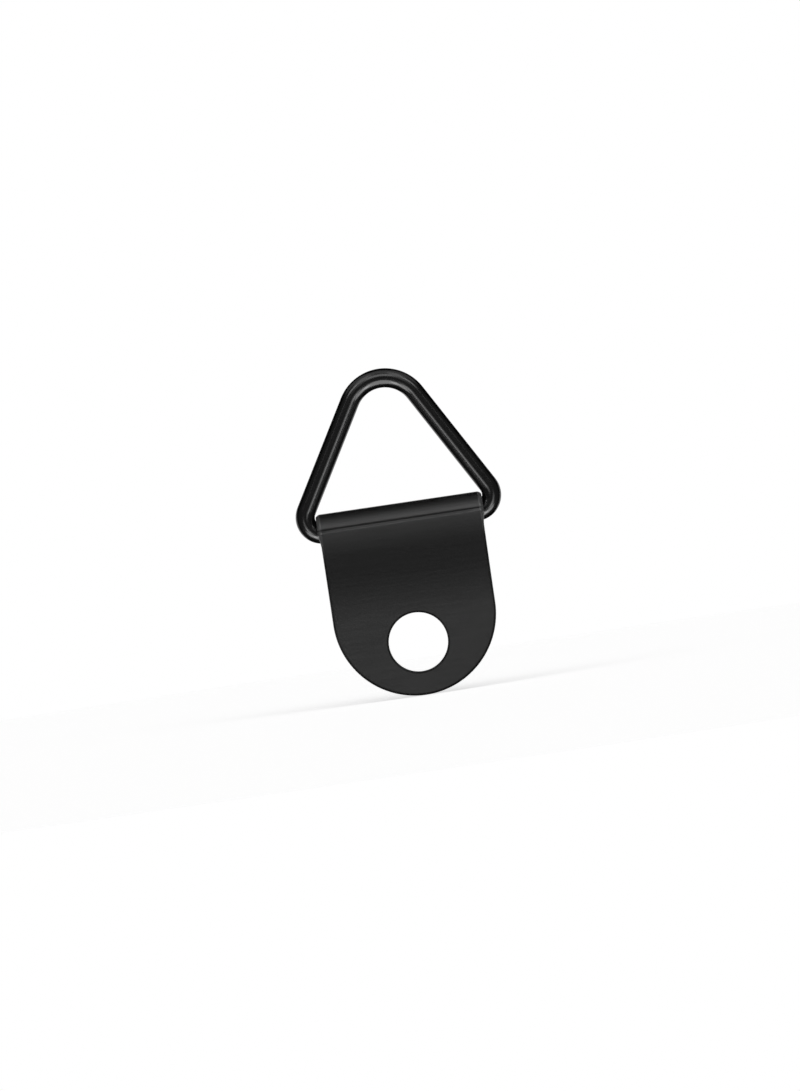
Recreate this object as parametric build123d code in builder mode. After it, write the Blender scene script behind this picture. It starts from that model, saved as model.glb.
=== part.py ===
from build123d import *
import math
import os

# A small hanger for the back of a picture frame: a steel strip folded over one side of a
# triangular wire ring, so that the ring swings in the fold, with one screw hole through both
# leaves. All lengths are in millimetres, angles in degrees. +Z is up, the side that shows faces
# -Y, and the origin is the screw hole's centre on the flat back.

# Strip
strap_width = 12.7
sheet_thickness = 0.7
leaf_gap = 0.1
edge_rounding = 0.18

# Screw hole and rounded foot
hole_diameter = 4.6
hole_edge_rounding = 0.12
hole_below_end_centre = 2.2
pivot_above_end_centre = 7.15

# Front leaf, from the fold's waist down to where it lies on the back leaf
slope_angle = 19.5
brow_radius = 6.0
foot_radius = 11.7

# Crease that the forming punch leaves across the front of the fold
crease_width = 0.26
crease_depth = 0.1
crease_above_pivot = 0.29

# Wire ring
wire_diameter = 1.5
ring_half_angle = 30.0
apex_bend_radius = 2.95
corner_bend_radius = 1.29
wire_joint_gap = 0.2

# Fit of the wire in the fold
pivot_clearance = 0.08
mouth_flare = 0.25
bend_inside_mouth = 0.35

cut_overrun = 2.0

# Sizes worked out from those above
wire_radius = wire_diameter / 2
bore_radius = wire_radius + pivot_clearance
fold_radius = bore_radius + sheet_thickness
end_radius = strap_width / 2
hole_radius = hole_diameter / 2
end_centre_z = hole_below_end_centre
pivot_y = -fold_radius
pivot_z = end_centre_z + pivot_above_end_centre
fold_top_z = pivot_z + fold_radius
strap_foot_z = end_centre_z - end_radius
closed_thickness = 2 * sheet_thickness + leaf_gap
leaf_drop = 2 * fold_radius - closed_thickness
bend_drop = (brow_radius + foot_radius) * (1 - math.cos(math.radians(slope_angle)))
slope_length = (leaf_drop - bend_drop) / math.sin(math.radians(slope_angle))
crease_tool_radius = (crease_width**2 / 4 + crease_depth**2) / (2 * crease_depth)
corner_x = strap_width / 2 - bend_inside_mouth
leg_lean = math.radians(ring_half_angle)
leg_run = corner_x + (corner_bend_radius - apex_bend_radius) * math.cos(leg_lean)
leg_length = leg_run / math.sin(leg_lean)


def folded_face(depth):
    """Draws the sheet's side line, depth inside its outer face, from the back leaf's foot over
    the fold to the front leaf's foot."""
    back = Line((-depth, strap_foot_z - cut_overrun), (-depth, pivot_z))
    fold = JernArc(back @ 1, back % 1, fold_radius - depth, 180)
    brow = JernArc(fold @ 1, fold % 1, brow_radius - depth, slope_angle)
    slope = Line(brow @ 1, brow @ 1 + slope_length * (brow % 1))
    foot = JernArc(slope @ 1, slope % 1, foot_radius + depth, -slope_angle)
    front = Line(foot @ 1, ((foot @ 1).X, strap_foot_z - cut_overrun))
    Line(front @ 1, back @ 0)


# Strap: the folded strip
with BuildPart() as strap:
    # Side view of the closed fold, wider than the strip until the front view trims it
    with BuildSketch(Plane.YZ):
        with BuildLine():
            folded_face(0)
        make_face()
    extrude(amount=strap_width / 2 + cut_overrun, both=True)

    # Front view: straight sides and a half-round foot
    with BuildSketch(Plane.XZ):
        with Locations((0, end_centre_z)):
            Circle(end_radius)
            Rectangle(
                strap_width,
                fold_top_z - end_centre_z + cut_overrun,
                align=(Align.CENTER, Align.MIN),
            )
    extrude(amount=2 * fold_radius + cut_overrun, both=True, mode=Mode.INTERSECT)

    # Stamped edges, rounded all the way round both outer faces
    rim = strap.edges().filter_by(Axis.X, reverse=True).filter_by(Axis.Y, reverse=True)
    fillet(rim, radius=edge_rounding)

    # Screw hole, its rims rounded like the stamped edges
    with BuildSketch(Plane.XZ):
        Circle(hole_radius)
    extrude(amount=2 * fold_radius, both=True, mode=Mode.SUBTRACT)
    hole_wall = strap.faces().filter_by(
        lambda face: face.geom_type == GeomType.CYLINDER
        and math.isclose(face.radius, hole_radius)
    )
    fillet(hole_wall.edges().filter_by(Axis.Y, reverse=True), radius=hole_edge_rounding)

    # Space inside the fold: the bore for the wire, the wedge under it and the leaves' gap
    with BuildSketch(Plane.YZ):
        with BuildLine():
            folded_face(sheet_thickness)
        make_face()
    extrude(amount=strap_width / 2 + cut_overrun, both=True, mode=Mode.SUBTRACT)

    # Flared mouths, where the wire starts to bend
    with BuildSketch(Plane.XY.offset(pivot_z)):
        for side in (-1, 1):
            mouth_x = side * strap_width / 2
            throat_x = mouth_x - side * mouth_flare
            with BuildLine():
                throat = Line((throat_x, pivot_y), (throat_x, pivot_y + bore_radius))
                flare = RadiusArc(
                    throat @ 1,
                    (mouth_x, pivot_y + bore_radius + mouth_flare),
                    -side * mouth_flare,
                )
                Polyline(flare @ 1, (mouth_x, pivot_y), throat @ 0)
            make_face()
    revolve(axis=Axis((0, pivot_y, pivot_z), (1, 0, 0)), mode=Mode.SUBTRACT)

    # Crease across the front of the fold
    crease_radius = fold_radius + crease_tool_radius - crease_depth
    crease_reach = math.sqrt(crease_radius**2 - crease_above_pivot**2)
    with BuildSketch(Plane.YZ):
        with Locations((pivot_y - crease_reach, pivot_z + crease_above_pivot)):
            Circle(crease_tool_radius)
    extrude(amount=strap_width / 2 + cut_overrun, both=True, mode=Mode.SUBTRACT)

# Triangle ring: one bent wire whose ends meet inside the fold
with BuildPart() as triangle_ring:
    with BuildLine(Plane.XZ.offset(-pivot_y)) as wire_line:
        base_right = Line((wire_joint_gap / 2, pivot_z), (corner_x, pivot_z))
        corner_right = JernArc(
            base_right @ 1, base_right % 1, corner_bend_radius, 90 + ring_half_angle
        )
        leg_right = Line(
            corner_right @ 1, corner_right @ 1 + leg_length * (corner_right % 1)
        )
        apex = JernArc(
            leg_right @ 1, leg_right % 1, apex_bend_radius, 180 - 2 * ring_half_angle
        )
        leg_left = Line(apex @ 1, apex @ 1 + leg_length * (apex % 1))
        corner_left = JernArc(
            leg_left @ 1, leg_left % 1, corner_bend_radius, 90 + ring_half_angle
        )
        Line(corner_left @ 1, (-wire_joint_gap / 2, pivot_z))
    with BuildSketch(Plane(origin=wire_line.line @ 0, z_dir=wire_line.line % 0)):
        Circle(wire_radius)
    sweep(path=wire_line.line)

strap.part.label = "strap"
triangle_ring.part.label = "triangle_ring"

os.makedirs("parts", exist_ok=True)
export_step(strap.part, "parts/strap.step")
export_step(triangle_ring.part, "parts/triangle_ring.step")
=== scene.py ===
import math

import bpy
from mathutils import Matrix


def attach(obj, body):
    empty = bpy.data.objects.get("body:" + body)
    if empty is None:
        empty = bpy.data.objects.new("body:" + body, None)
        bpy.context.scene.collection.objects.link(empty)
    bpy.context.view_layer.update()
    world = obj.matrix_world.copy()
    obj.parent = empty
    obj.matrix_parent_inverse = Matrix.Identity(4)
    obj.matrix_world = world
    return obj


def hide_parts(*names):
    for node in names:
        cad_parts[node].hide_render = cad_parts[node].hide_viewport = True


# A picture hanger: a strip of black coated steel folded over one side of a triangular wire ring.
# Both pieces are modelled in millimetres, and go to metres when they are finished. +Z is up,
# the front faces -Y, and the origin is the screw hole's centre on the flat back.

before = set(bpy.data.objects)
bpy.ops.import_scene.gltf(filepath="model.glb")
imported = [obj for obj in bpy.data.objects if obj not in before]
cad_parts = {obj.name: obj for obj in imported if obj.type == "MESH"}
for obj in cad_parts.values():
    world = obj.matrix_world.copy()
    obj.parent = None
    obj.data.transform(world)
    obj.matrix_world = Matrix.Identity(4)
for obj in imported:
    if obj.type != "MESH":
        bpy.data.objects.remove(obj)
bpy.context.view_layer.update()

# Strip
strap_width = 12.7
sheet_thickness = 0.7
leaf_gap = 0.1
edge_rounding = 0.18
inner_edge_rounding = 0.05
hole_radius = 2.3
hole_edge_rounding = 0.12
hole_from_end = 4.15

# Fold
wire_radius = 0.75
wire_sides = 56
pivot_clearance = 0.08
bore_radius = wire_radius + pivot_clearance
fold_radius = bore_radius + sheet_thickness
pivot_y = -fold_radius
pivot_z = 9.35
foot_z = -4.15
slope_angle = math.radians(19.5)
brow_radius = 6.0
foot_radius = 11.7
crease_angle = math.radians(9.0)
crease_depth = 0.1
crease_depth_left = 0.06
crease_depth_right = 0.13
crease_end_x = 5.2
crease_end_length = 0.8
crease_above = 0.09
crease_below = 0.21
crease_bluntness = 0.4
mouth_flare = 0.36
throat_x = 6.1
throat_score_x = 6.2
fold_spread = 0.13
spread_reach = 0.85
spread_fade = 1.1

# Ring
corner_x = 6.0
corner_bend_radius = 1.29
apex_bend_radius = 2.95
wire_joint_gap = 0.2
corner_steps = 40
apex_steps = 48
bend_angle = math.radians(120)
leg_lean = math.radians(30)
leg_run = corner_x + (corner_bend_radius - apex_bend_radius) * math.cos(leg_lean)
leg_length = leg_run / math.sin(leg_lean)

# Lengths along the middle of the sheet, from the back leaf's tip to the front leaf's tip
middle_radius = fold_radius - sheet_thickness / 2
back_length = pivot_z - foot_z
fold_length = math.pi * middle_radius
brow_length = (brow_radius - sheet_thickness / 2) * slope_angle
drop_by_bends = (brow_radius + foot_radius) * (1 - math.cos(slope_angle))
closed_thickness = 2 * sheet_thickness + leaf_gap
slope_length = (2 * fold_radius - closed_thickness - drop_by_bends) / math.sin(slope_angle)
foot_length = (foot_radius + sheet_thickness / 2) * slope_angle
foot_end_z = pivot_z - (brow_radius + foot_radius) * math.sin(slope_angle)
foot_end_z -= slope_length * math.cos(slope_angle)
front_length = foot_end_z - foot_z
strip_length = back_length + fold_length + brow_length + slope_length
strip_length += foot_length + front_length
half_length = strip_length / 2
hole_z = half_length - hole_from_end
end_z = half_length - strap_width / 2
fold_starts = back_length - half_length
fold_ends = fold_starts + fold_length
brow_ends = fold_ends + brow_length
slope_ends = brow_ends + slope_length
foot_ends = slope_ends + foot_length

# Mesh: the holed ends meet the plain strip at the join, whose points stay clear of the sides
join_z = foot_ends - 0.2 * foot_length
join_share = 0.96
rim_sides = 128
face_border = 0.08
smooth_angle = 40
outer_side = -1

# Wear and painted dark rims along the edges, and a painted highlight at the fold's ends: how far
# the edge band reaches in from the edges, and how far the highlight reaches down from the fold's
# ends
wear_and_dark_rim_width = 0.2
inner_wear_and_dark_rim_width = 0.08
end_glint_fade = 2.2

# Camera: the photograph's pixels to the millimetre, what its centre shows and how far it is turned
photo_height = 1091
photo_scale = 12.9
photo_centre = (-0.324, 7.602)
photo_roll = 8.4
camera_distance = 0.45

# Backdrop, by how far a direction points to the back: dim in front, white right behind
front_grey = 0.13
front_fade = 0.15
behind_starts = 0.9
behind_full = 0.98

# Floor, in metres
floor_radius = 0.15
floor_y = -0.0015
floor_gap = 0.00002
floor_glow = 0.68


def pick(kind, holds):
    """Selects, in the open piece, only the VERT, EDGE or FACE items for which holds is true."""
    bpy.ops.object.mode_set(mode="EDIT")
    bpy.ops.mesh.select_mode(type=kind)
    bpy.ops.mesh.select_all(action="DESELECT")
    bpy.ops.object.mode_set(mode="OBJECT")
    mesh = bpy.context.object.data
    if kind == "VERT":
        for point in mesh.vertices:
            point.select = holds(point.co)
    elif kind == "EDGE":
        for edge in mesh.edges:
            start, end = (mesh.vertices[i].co for i in edge.vertices)
            edge.select = holds(start, end)
    else:
        for face in mesh.polygons:
            face.select = holds(face.center, face.normal)
    bpy.ops.object.mode_set(mode="EDIT")


def near(a, b, slack=0.001):
    return abs(a - b) < slack


def on_outline(point):
    """Whether the point lies on the flat strip's outline, seen from the front."""
    past_centre = max(abs(point.z) - end_z, 0)
    return near(math.hypot(point.x, past_centre), strap_width / 2, 0.003)


def on_hole(point):
    """Whether the point lies on the rim of one of the flat strip's holes."""
    return near(math.hypot(point.x, abs(point.z) - hole_z), hole_radius, 0.003)


def pull(x, y, z):
    """Extrudes what is selected by that many millimetres."""
    bpy.ops.mesh.extrude_region_move(TRANSFORM_OT_translate={"value": (x, y, z)})


def apply_modifiers(piece):
    bpy.ops.object.mode_set(mode="OBJECT")
    for modifier in list(piece.modifiers):
        bpy.ops.object.modifier_apply(modifier=modifier.name)


def name_piece(name):
    piece = bpy.context.object
    piece.name = name
    piece.data.name = name
    bpy.ops.object.transform_apply(location=True, rotation=True, scale=True)
    return piece


def finish_piece(piece):
    """Closes the mesh, points its faces outwards and takes it from millimetres to metres."""
    bpy.ops.object.mode_set(mode="EDIT")
    bpy.ops.mesh.select_all(action="SELECT")
    bpy.ops.mesh.remove_doubles(threshold=0.0005)
    bpy.ops.mesh.normals_make_consistent(inside=False)
    bpy.ops.object.mode_set(mode="OBJECT")
    piece.scale = (0.001, 0.001, 0.001)
    bpy.ops.object.transform_apply(location=True, rotation=True, scale=True)
    bpy.ops.object.shade_smooth_by_angle(angle=math.radians(smooth_angle))


def bend_round(x, z, steps):
    """Turns the wire's open end round a bend's centre."""
    bpy.ops.mesh.spin(steps=steps, angle=bend_angle, center=(x, pivot_y, z), axis=(0, 1, 0))


def bend_wire():
    """Triangle ring, bent from the butt joint inside the fold round to the joint again."""
    bpy.ops.object.select_all(action="DESELECT")
    bpy.ops.mesh.primitive_circle_add(
        vertices=wire_sides,
        radius=wire_radius,
        fill_type="NGON",
        location=(wire_joint_gap / 2, pivot_y, pivot_z),
        rotation=(0, math.pi / 2, 0),
    )
    ring = name_piece("triangle_wire")
    bpy.ops.object.mode_set(mode="EDIT")
    bpy.ops.mesh.select_all(action="SELECT")
    straight = corner_x - wire_joint_gap / 2
    sideways = leg_length * math.sin(leg_lean)
    upwards = leg_length * math.cos(leg_lean)
    corner_z = pivot_z + corner_bend_radius
    apex_z = corner_z + upwards
    apex_z += (corner_bend_radius - apex_bend_radius) * math.sin(leg_lean)
    pull(straight, 0, 0)
    bend_round(corner_x, corner_z, corner_steps)
    pull(-sideways, 0, upwards)
    bend_round(0, apex_z, apex_steps)
    pull(-sideways, 0, -upwards)
    bend_round(-corner_x, corner_z, corner_steps)
    pull(straight, 0, 0)
    finish_piece(ring)
    return ring


def stamp_blank():
    """The flat strip, with both round ends, both screw holes and all its edges rounded."""
    bpy.ops.object.select_all(action="DESELECT")
    bpy.ops.mesh.primitive_circle_add(
        vertices=rim_sides,
        radius=strap_width / 2,
        location=(0, 0, end_z),
        rotation=(math.pi / 2, 0, 0),
    )
    blank = name_piece("folded_strap")
    # Round end: the lower half of the circle gives way to straight sides and a cross line
    pick("VERT", lambda p: p.z < end_z - 0.01)
    bpy.ops.mesh.delete(type="VERT")
    pick("VERT", lambda p: p.z < end_z + 0.01)
    pull(0, 0, join_z - end_z)
    bpy.ops.mesh.edge_face_add()
    pick("EDGE", lambda a, b: near(a.z, join_z) and near(b.z, join_z))
    bpy.ops.mesh.subdivide(number_cuts=rim_sides // 2 - 3)
    # Its points stay clear of the sides, where the edges will be rounded
    pick("VERT", lambda p: near(p.z, join_z) and abs(p.x) < strap_width / 2 - 0.01)
    bpy.ops.transform.resize(value=(join_share, 1, 1), center_override=(0, 0, join_z))
    pick("VERT", lambda p: False)
    bpy.ops.mesh.primitive_circle_add(
        vertices=rim_sides,
        radius=hole_radius,
        location=(0, 0, hole_z),
        rotation=(math.pi / 2, 0, 0),
    )
    bpy.ops.mesh.select_all(action="SELECT")
    bpy.ops.mesh.bridge_edge_loops()
    # Down to the middle of the strip, and the other half
    pick("EDGE", lambda a, b: near(a.z, join_z) and near(b.z, join_z))
    pull(0, 0, -join_z)
    other_half = blank.modifiers.new("other half", "MIRROR")
    other_half.use_axis = (False, False, True)
    other_half.merge_threshold = 0.001
    thickness = blank.modifiers.new("thickness", "SOLIDIFY")
    thickness.thickness = sheet_thickness
    thickness.offset = 0
    apply_modifiers(blank)
    # Edges: rounder on the outer side, which the stamp pulls in, than on the inner side
    for rim, side, rounding in (
        (on_outline, outer_side, edge_rounding),
        (on_hole, outer_side, hole_edge_rounding),
        (on_outline, -outer_side, inner_edge_rounding),
        (on_hole, -outer_side, inner_edge_rounding),
    ):
        level = side * sheet_thickness / 2
        pick("EDGE", lambda a, b: near(a.y, level) and near(b.y, level) and rim(a) and rim(b))
        bpy.ops.mesh.bevel(
            offset=rounding, segments=4, profile=0.5, affect="EDGES", clamp_overlap=False
        )
    pick("FACE", lambda centre, normal: abs(normal.y) > 0.999)
    bpy.ops.mesh.inset(thickness=face_border, use_even_offset=True)
    return blank


def cross_lines():
    """Where the strip is scored across before it is bent, measured from its middle."""
    lines = [foot_ends]
    lines += [foot_ends - foot_length * step / 15 for step in (1, 2)]
    lines += [slope_ends + foot_length * step / 10 for step in range(8)]
    lines += [brow_ends + slope_length * step / 4 for step in range(4)]
    lines += [fold_ends + brow_length * step / 12 for step in range(12)]
    lines += [fold_starts + fold_length * step / 84 for step in range(84)]
    lines += [fold_starts - 0.1 * step for step in range(1, 9)]
    crease = fold_ends - middle_radius * crease_angle
    lines = [line for line in lines if not -0.11 < line - crease < 0.24]
    lines += [crease + 0.03 * step for step in range(-3, 0)]
    lines += [crease + 0.035 * step for step in range(7)]
    return lines


def press(piece, tool, direction, depth, weight_at):
    """Presses the sheet's points along one axis, by depth times the weight that each gets."""
    group = piece.vertex_groups.new(name=tool)
    for point in piece.data.vertices:
        weight = weight_at(point.co)
        if weight > 0:
            group.add([point.index], weight, "REPLACE")
    stroke = piece.modifiers.new(tool, "DISPLACE")
    stroke.vertex_group = tool
    stroke.direction = direction
    stroke.strength = depth
    stroke.mid_level = 0


def crease_weight(point):
    """Depth of the crease across the front of the fold, as a share of its deepest place. The punch
    stood a little askew, so that the crease is deeper at the right end than at the left end."""
    if point.y * outer_side < 0:
        return 0
    off = point.z - fold_ends + middle_radius * crease_angle
    share = max(0, 1 - abs(off) / (crease_below if off > 0 else crease_above))
    end_depth = crease_depth_right if point.x > 0 else crease_depth_left
    at_end = ease((abs(point.x) - crease_end_x) / crease_end_length)
    depth = crease_depth + at_end * (end_depth - crease_depth)
    return share * min(1, crease_bluntness + share) * depth / crease_depth_right


def ease(share):
    """The share between 0 and 1, with a gentle start and end."""
    share = min(1, max(0, share))
    return share * share * (3 - 2 * share)


def past_fold(point):
    """How far along the strip the point lies beyond the fold, on either leaf."""
    return max(fold_starts - point.z, point.z - fold_ends, 0)


def spread_weight(point):
    """Sideways spread of the fold's ends, as a share of the widest: the sheet swells where it is
    squeezed, and its stretched outer face stays as it is."""
    inwards = 1 - (strap_width / 2 - abs(point.x)) / spread_reach
    squeezed = (sheet_thickness / 2 - point.y * outer_side) / edge_rounding
    return ease(inwards) * ease(1 - past_fold(point) / spread_fade) * min(1, max(0, squeezed))


def flare_weight(point):
    """Widening of the fold's mouths, as a share of the widest."""
    mouth_radius = bore_radius + mouth_flare
    inwards = abs(point.x) + fold_spread * spread_weight(point) - throat_x
    if point.y * outer_side > 0 or inwards <= 0 or past_fold(point) >= mouth_radius:
        return 0
    inwards /= strap_width / 2 + fold_spread - throat_x
    widening = 1 - math.sqrt(max(0, 1 - inwards**2))
    fade = math.sqrt(mouth_radius**2 - past_fold(point) ** 2) - bore_radius
    return max(0, min(widening, fade / mouth_flare))


def mark_sheet(blank):
    """Keeps each point's place on the flat strip, how near it is to a stamped edge, where the coat
    is worn and a dark rim is painted, and how near to the ends of the fold, which the ring rubs
    and where a paler base colour is painted as a highlight."""
    data = blank.data
    data.attributes.new("flat_place", "FLOAT_VECTOR", "POINT")
    data.attributes.new("edge_share", "FLOAT", "POINT")
    data.attributes.new("end_share", "FLOAT", "POINT")
    flat_place = data.attributes["flat_place"]
    edge_share = data.attributes["edge_share"]
    end_share = data.attributes["end_share"]
    for point in data.vertices:
        x, y, z = point.co
        from_side = strap_width / 2 - math.hypot(x, max(abs(z) - end_z, 0))
        from_hole = math.hypot(x, abs(z) - hole_z) - hole_radius
        width = wear_and_dark_rim_width if y * outer_side > 0 else inner_wear_and_dark_rim_width
        flat_place.data[point.index].vector = (x, y, z)
        edge_share.data[point.index].value = 1 - min(from_side, from_hole) / width
        end_share.data[point.index].value = ease(1 - past_fold(point.co) / end_glint_fade)


def draw_fold_line():
    """The side view's line that the middle of the sheet follows, as a curve."""
    corners = []
    y, z, heading = -sheet_thickness / 2, foot_z, math.pi / 2

    def go_straight(length):
        nonlocal y, z
        corners.append((y, z, heading, length / 3, length / 3))
        y += length * math.cos(heading)
        z += length * math.sin(heading)

    def go_round(radius, turn):
        nonlocal y, z, heading
        handle = abs(4 / 3 * math.tan(turn / 4) * radius)
        corners.append((y, z, heading, handle, handle))
        side = math.copysign(radius, turn)
        centre_y = y - side * math.sin(heading)
        centre_z = z + side * math.cos(heading)
        heading += turn
        y = centre_y + side * math.sin(heading)
        z = centre_z - side * math.cos(heading)

    go_straight(back_length)
    go_round(middle_radius, math.pi / 2)
    go_round(middle_radius, math.pi / 2)
    go_round(brow_radius - sheet_thickness / 2, slope_angle)
    go_straight(slope_length)
    go_round(foot_radius + sheet_thickness / 2, -slope_angle)
    go_straight(front_length)
    corners.append((y, z, heading, front_length / 3, front_length / 3))
    data = bpy.data.curves.new("fold line", "CURVE")
    data.dimensions = "3D"
    data.resolution_u = 64
    data.use_deform_bounds = True
    line = data.splines.new("BEZIER")
    line.bezier_points.add(len(corners) - 1)
    before = front_length / 3
    for knot, (y, z, heading, _, after) in zip(line.bezier_points, corners):
        ahead_y, ahead_z = math.cos(heading), math.sin(heading)
        knot.co = (0, y, z)
        knot.handle_left_type = "FREE"
        knot.handle_right_type = "FREE"
        knot.handle_left = (0, y - before * ahead_y, z - before * ahead_z)
        knot.handle_right = (0, y + after * ahead_y, z + after * ahead_z)
        before = after
    guide = bpy.data.objects.new("fold line", data)
    bpy.context.collection.objects.link(guide)
    return guide


def fold_strap(blank):
    """Scores, creases and folds the flat strip over the place of the wire."""
    pick("VERT", lambda p: False)
    for line in cross_lines():
        bpy.ops.mesh.select_all(action="SELECT")
        bpy.ops.mesh.bisect(plane_co=(0, 0, line), plane_no=(0, 0, 1), threshold=0.0005)
    for line in (-throat_score_x, throat_score_x):
        bpy.ops.mesh.select_all(action="SELECT")
        bpy.ops.mesh.bisect(plane_co=(line, 0, 0), plane_no=(1, 0, 0), threshold=0.0005)
    bpy.ops.object.mode_set(mode="OBJECT")
    mark_sheet(blank)
    press(blank, "crease", "Y", -outer_side * crease_depth_right, crease_weight)
    press(blank, "mouths", "Y", outer_side * mouth_flare, flare_weight)
    press(blank, "left spread", "X", -fold_spread, lambda p: spread_weight(p) * (p.x < 0))
    press(blank, "right spread", "X", fold_spread, lambda p: spread_weight(p) * (p.x > 0))
    guide = draw_fold_line()
    fold = blank.modifiers.new("fold", "CURVE")
    fold.object = guide
    fold.deform_axis = "POS_Z"
    apply_modifiers(blank)
    blank.vertex_groups.clear()
    bpy.data.objects.remove(guide)
    finish_piece(blank)
    return blank


def node_helper(tree):
    """A helper that adds nodes to the tree, each with its settings, its values and its links."""

    def add(kind, inputs=None, **settings):
        node = tree.nodes.new(kind)
        for key, value in settings.items():
            setattr(node, key, value)
        for key, value in (inputs or {}).items():
            if isinstance(value, bpy.types.NodeSocket):
                tree.links.new(value, node.inputs[key])
            else:
                node.inputs[key].default_value = value
        return node

    return add


def coat_material(name):
    """A new node material, with its shader and the helpers that add nodes and join them to it."""
    material = bpy.data.materials.new(name)
    material.use_nodes = True
    tree = material.node_tree
    shader = tree.nodes["Principled BSDF"]

    def join(socket, key):
        tree.links.new(socket, shader.inputs[key])

    return material, shader, node_helper(tree), join


def grey(level):
    return (level, level, level, 1)


def spread(add, value, low, high, value_low=0.3, value_high=0.7):
    """Stretches a pattern's value, between its own limits, over the range low to high."""
    ends = {"From Min": value_low, "From Max": value_high, "To Min": low, "To Max": high}
    return add("ShaderNodeMapRange", {"Value": value, **ends}).outputs["Result"]


def mix_colours(add, share, first, second):
    """The first colour going over to the second one, by a pattern's share."""
    inputs = {"Factor": share, 6: first, 7: second}
    return add("ShaderNodeMix", inputs, data_type="RGBA").outputs[2]


def combine(add, operation, first, second):
    """Two patterns made into one by the named operation, and kept between 0 and 1."""
    inputs = {0: first, 1: second}
    return add("ShaderNodeMath", inputs, operation=operation, use_clamp=True).outputs["Value"]


def noise(add, place, scale, detail):
    inputs = {"Vector": place, "Scale": scale, "Detail": detail}
    return add("ShaderNodeTexNoise", inputs).outputs["Fac"]


def own_pattern(add, name):
    """What the piece's mesh keeps under that name, at each of its points."""
    return add("ShaderNodeAttribute", attribute_name=name)


def relief(add, height, depth, strength, below=None):
    """Relief of a pattern, so many metres deep, on top of the relief that is there already."""
    inputs = {"Height": height, "Distance": depth, "Strength": strength}
    if below is not None:
        inputs["Normal"] = below
    return add("ShaderNodeBump", inputs).outputs["Normal"]


def ring_coat():
    """Glossy black enamel on the wire, with the fine grain of its baked skin."""
    material, shader, add, join = coat_material("black_wire_enamel")
    place = add("ShaderNodeTexCoord").outputs["Object"]
    cloud = noise(add, place, 900, 3)
    grain = noise(add, place, 9000, 2)
    join(mix_colours(add, cloud, grey(0.001), grey(0.002)), "Base Color")
    join(spread(add, grain, 0.16, 0.22), "Roughness")
    join(relief(add, grain, 0.000001, 0.5), "Normal")
    return material


def strap_coat():
    """Satin black coat over the sheet: faint rolling streaks across the strip, a fine skin, shear
    marks on the cut walls, and edges that handling has rubbed a little smoother and paler. Painted
    shade darkens the rounded edges into dark outlines, and a painted highlight, a much paler base,
    lies on the ends of the fold, where the ring rubs."""
    material, shader, add, join = coat_material("black_sheet_satin")
    place = add("ShaderNodeTexCoord").outputs["Object"]
    flat = own_pattern(add, "flat_place").outputs["Vector"]
    edge = own_pattern(add, "edge_share").outputs["Fac"]
    ends = own_pattern(add, "end_share").outputs["Fac"]
    along = add("ShaderNodeMapping", {"Vector": flat, "Scale": (0.4, 4, 3.6)}).outputs["Vector"]
    across = add("ShaderNodeMapping", {"Vector": flat, "Scale": (9, 0.8, 9)}).outputs["Vector"]
    cloud = noise(add, place, 350, 4)
    grain = noise(add, place, 7000, 2)
    streaks = noise(add, along, 1, 3)
    shears = noise(add, across, 1, 2)
    # Where the edges are rounded, where they are cut walls, and where the fold's ends, which the
    # ring rubs, get a painted highlight
    rounded = spread(add, edge, 0, 1, 0.03, 0.35)
    wall = spread(add, edge, 0, 1, 0.97, 0.99)
    painted_end_glint = combine(add, "MULTIPLY", ends, rounded)
    # Colour: paler in patches where it is rubbed
    rubbed = combine(add, "MULTIPLY", spread(add, cloud, 0, 1, 0.45, 0.65), rounded)
    colour = mix_colours(add, cloud, grey(0.011), grey(0.014))
    colour = mix_colours(add, rubbed, colour, grey(0.022))
    # Painted highlight: a much paler base at the fold's ends stands in for the glints there, on
    # top of the wear
    painted_glint_colour = mix_colours(add, cloud, grey(0.02), grey(0.13))
    join(mix_colours(add, painted_end_glint, colour, painted_glint_colour), "Base Color")
    # Gloss: smoother edges. Painted shade: a dark specular tint makes the rounded edges between
    # face and wall shine less, as dark outlines, but not on the walls or at the fold's ends, where
    # the painted highlight is
    satin = spread(add, streaks, 0.34, 0.43)
    gloss = add("ShaderNodeMix", {"Factor": rounded, 2: satin, 3: 0.27}, data_type="FLOAT")
    join(gloss.outputs[0], "Roughness")
    bright = combine(add, "MAXIMUM", wall, painted_end_glint)
    painted_dark_rim = combine(add, "SUBTRACT", rounded, bright)
    # Painted shade: the rounded edges' reflections are tinted dark
    join(mix_colours(add, painted_dark_rim, grey(1), grey(0.2)), "Specular Tint")
    # Relief: streaks on the faces, shear marks on the walls, and the skin over both
    faces = relief(add, streaks, 0.00002, 0.6)
    walls = relief(add, shears, 0.000012, wall, faces)
    join(relief(add, grain, 0.000002, 0.5, walls), "Normal")
    return material


def set_lights():
    """Soft studio light, as round boxes far away, one on each side where they stand aside. Some
    of them light certain pieces only."""
    for name, aside, height, width, level, lit in lights:
        for azimuth in sorted({-aside, aside}):
            lamp = bpy.data.lights.new(name, "SUN")
            lamp.angle = math.radians(width)
            lamp.energy = level * math.pi * math.sin(lamp.angle / 2) ** 2
            holder = bpy.data.objects.new(name, lamp)
            holder.rotation_euler = (math.radians(90 - height), 0, math.radians(azimuth))
            bpy.context.collection.objects.link(holder)
            if lit:
                group = bpy.data.collections.new(name)
                holder.light_linking.receiver_collection = group
                for piece in lit:
                    group.objects.link(piece)


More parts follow.
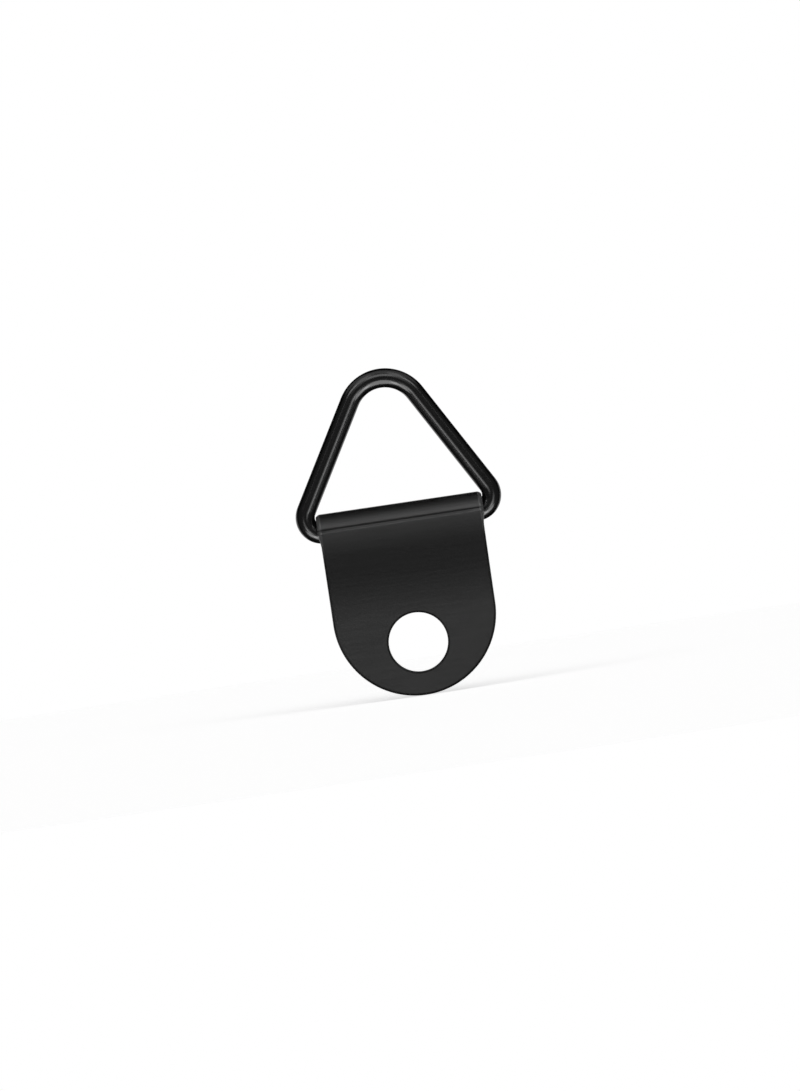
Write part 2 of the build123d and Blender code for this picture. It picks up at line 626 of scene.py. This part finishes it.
def set_backdrop():
    """White behind the object, as the camera and reflections see it, and dim grey in front."""
    world = bpy.data.worlds.new("studio")
    bpy.context.scene.world = world
    world.use_nodes = True
    tree = world.node_tree
    add = node_helper(tree)
    path = add("ShaderNodeLightPath").outputs
    direction = add("ShaderNodeTexCoord").outputs["Generated"]
    backwards = add("ShaderNodeSeparateXYZ", {"Vector": direction}).outputs["Y"]
    room = tree.nodes["Background"]
    room.inputs["Strength"].default_value = front_grey
    tree.links.new(spread(add, backwards, 0, 1, front_fade, -front_fade), room.inputs["Color"])
    white = add("ShaderNodeBackground", {"Color": grey(1)})
    behind = spread(add, backwards, 0, 1, behind_starts, behind_full)
    bounced = combine(add, "MAXIMUM", path["Is Glossy Ray"], path["Is Transmission Ray"])
    mirrored = combine(add, "MULTIPLY", bounced, behind)
    seen = combine(add, "MAXIMUM", path["Is Camera Ray"], mirrored)
    shades = {"Fac": seen, 1: room.outputs["Background"], 2: white.outputs["Background"]}
    surface = add("ShaderNodeMixShader", shades).outputs["Shader"]
    tree.links.new(surface, tree.nodes["World Output"].inputs["Surface"])


def lay_floor():
    """White floor under the strap's round foot."""
    bpy.ops.object.select_all(action="DESELECT")
    bpy.ops.mesh.primitive_circle_add(
        vertices=96,
        radius=floor_radius,
        fill_type="NGON",
        location=(0, floor_y, foot_z / 1000 - floor_gap),
    )
    floor = bpy.context.object
    floor.name = "floor"
    material, shader, add, join = coat_material("white_floor")
    shader.inputs["Base Color"].default_value = grey(0.8)
    shader.inputs["Roughness"].default_value = 0.9
    shader.inputs["Specular IOR Level"].default_value = 0.1
    paper = shader.outputs["BSDF"]
    glow = add("ShaderNodeEmission", {"Strength": floor_glow}).outputs["Emission"]
    lit_paper = add("ShaderNodeAddShader", {0: paper, 1: glow}).outputs["Shader"]
    seen = add("ShaderNodeLightPath").outputs["Is Camera Ray"]
    plain = add("ShaderNodeMixShader", {"Fac": seen, 1: paper, 2: lit_paper}).outputs["Shader"]
    surface = material.node_tree.nodes["Material Output"].inputs["Surface"]
    material.node_tree.links.new(plain, surface)
    floor.data.materials.append(material)
    floor.visible_shadow = False
    floor.visible_glossy = False
    floor.visible_diffuse = False


def set_camera():
    """Looks at the front from afar, rolled as the photograph is."""
    lens_data = bpy.data.cameras.new("camera")
    camera = bpy.data.objects.new("camera", lens_data)
    bpy.context.collection.objects.link(camera)
    seen_height = photo_height / photo_scale / 1000
    lens_data.sensor_width = 36
    lens_data.lens = lens_data.sensor_width * camera_distance / seen_height
    lens_data.clip_start = 0.01
    x, z = photo_centre
    camera.location = (x / 1000, pivot_y / 1000 - camera_distance, z / 1000)
    camera.rotation_euler = (math.pi / 2, math.radians(photo_roll), 0)
    bpy.context.scene.camera = camera


strap = fold_strap(stamp_blank())
strap.data.materials.append(strap_coat())
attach(strap, "strap")
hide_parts("strap")

ring = bend_wire()
ring.data.materials.append(ring_coat())
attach(ring, "ring")
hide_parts("triangle_ring")

# Name, degrees aside, height and width in degrees, brightness and the only pieces that it lights
lights = (
    ("high_middle", 0, 34, 22, 2.5, ()),
    ("high_near", 24, 40, 20, 1.9, ()),
    ("high_far", 38, 33, 16, 3.4, ()),
    ("top_middle", 0, 60, 32, 0.4, ()),
    ("top_far", 38, 56, 22, 1.7, ()),
    ("front", 0, 2, 30, 0.87, (strap,)),
    ("front_low", 0, -22, 24, 0.36, (strap,)),
    ("side", 22, -10, 20, 1.7, (ring,)),
    ("side_low", 25, -19, 14, 4.2, (ring,)),
    ("low_middle", 0, -53, 50, 4.2, (ring,)),
    ("low_far", 38, -39, 29, 5.0, (ring,)),
    ("corner", 45, -14, 36, 0.5, (strap,)),
    ("under", 0, -72, 30, 0.5, (strap,)),
    ("edge", 104, -4, 24, 1.6, (strap,)),
    ("side_high", 95, 58, 40, 0.5, (ring,)),
    ("high_low", 11, 24, 18, 0.75, (ring,)),
    ("overhead", 0, 84, 34, 0.55, (ring,)),
    ("behind", 140, -6, 48, 0.9, (strap, ring)),
)
lay_floor()
set_backdrop()
set_lights()
set_camera()
bpy.context.scene.view_settings.view_transform = "Standard"
